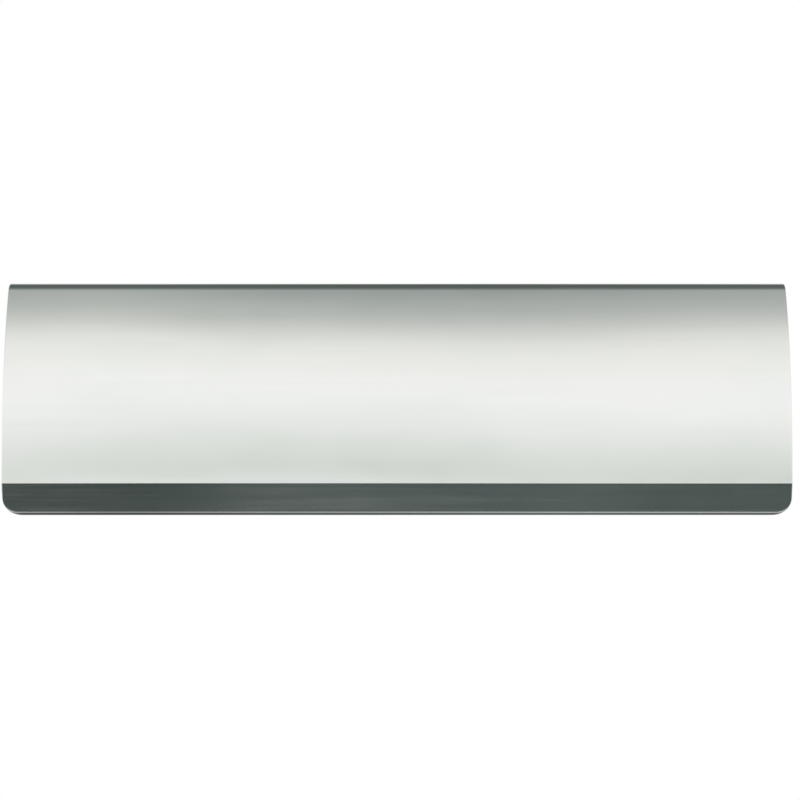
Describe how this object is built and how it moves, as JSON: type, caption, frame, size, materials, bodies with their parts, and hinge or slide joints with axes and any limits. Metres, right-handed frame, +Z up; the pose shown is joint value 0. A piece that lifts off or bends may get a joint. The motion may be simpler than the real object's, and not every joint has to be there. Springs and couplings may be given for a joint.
{
  "type": "interior letter flap",
  "caption": "Bowed polished-steel flap with a turned-in top edge and folded finger lip, hung on a sprung hinge rod in folded brackets that screw to the inside of a door over its letter opening.",
  "frame": {"origin": "centre of the four fixing screws, on the plane of the door's inner face", "axes": "+X along the flap, +Y into the door, +Z up; the room is on the -Y side"},
  "size_m": [0.28, 0.0319, 0.0835],
  "materials": {
    "flap_steel": "polished",
    "rod_steel": "satin",
    "pressed_steel": "satin",
    "spring_steel": "satin",
    "screw_steel": "satin",
    "nylon": "satin",
    "bumper_rubber": "matte"
  },
  "bodies": {
    "door_side": {"left_bracket": "pressed_steel", "left_outer_bush": "nylon", "left_inner_bush": "nylon", "left_spring": "spring_steel", "left_fixing_screws": "screw_steel", "right_bracket": "pressed_steel", "right_outer_bush": "nylon", "right_inner_bush": "nylon", "right_spring": "spring_steel", "right_fixing_screws": "screw_steel"},
    "flap": {"flap_shell": "flap_steel", "hinge_rod": "rod_steel", "left_lug": "pressed_steel", "left_rod_clip": "spring_steel", "left_spring_keeper": "pressed_steel", "left_bumper": "bumper_rubber", "right_lug": "pressed_steel", "right_rod_clip": "spring_steel", "right_spring_keeper": "pressed_steel", "right_bumper": "bumper_rubber"}
  },
  "joints": [
    {"name": "flap_hinge", "type": "hinge", "parent": "door_side", "child": "flap", "pos_m": [0, -0.0082, 0.02], "axis": [-1, 0, 0], "range_deg": [0, 90], "stiffness_Nm_per_rad": 0.06, "springref_deg": -45.84, "deforming": ["left_spring", "right_spring"]}
  ]
}
